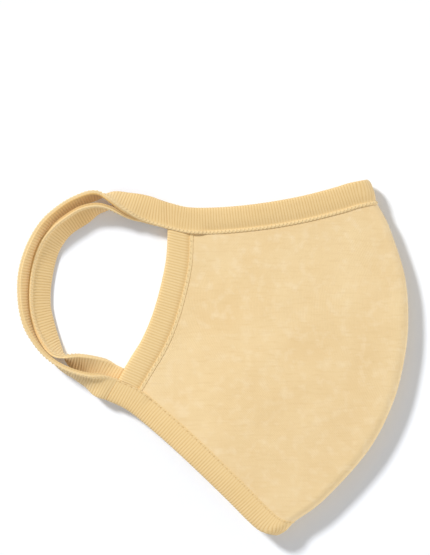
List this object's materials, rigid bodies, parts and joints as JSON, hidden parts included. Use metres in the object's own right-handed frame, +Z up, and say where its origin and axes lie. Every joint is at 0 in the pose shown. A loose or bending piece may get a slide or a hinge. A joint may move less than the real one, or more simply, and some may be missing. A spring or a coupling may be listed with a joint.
{
  "type": "cloth face mask",
  "caption": "Jersey cloth face mask folded in half along its curved centre front, with rib-knit bindings on its edges and two rib-knit ear loops.",
  "frame": {"origin": "middle of the bounding box in plan, on the surface that the folded mask lies on", "axes": "+X to the centre-front fold, away from the ear loops; +Y to the nose edge; +Z up, out of the wearer's right half"},
  "size_m": [0.1763, 0.16, 0.0146],
  "materials": {
    "jersey": "matte cotton jersey, pale butter yellow",
    "rib_knit": "matte rib knit, slightly deeper butter yellow"
  },
  "bodies": {
    "root": {"cheek_panel_right": "jersey", "cheek_panel_left": "jersey", "nose_binding": "rib_knit", "chin_binding": "rib_knit", "side_binding_right": "rib_knit", "side_binding_left": "rib_knit", "ear_loop_right": "rib_knit", "ear_loop_left": "rib_knit"}
  },
  "joints": []
}
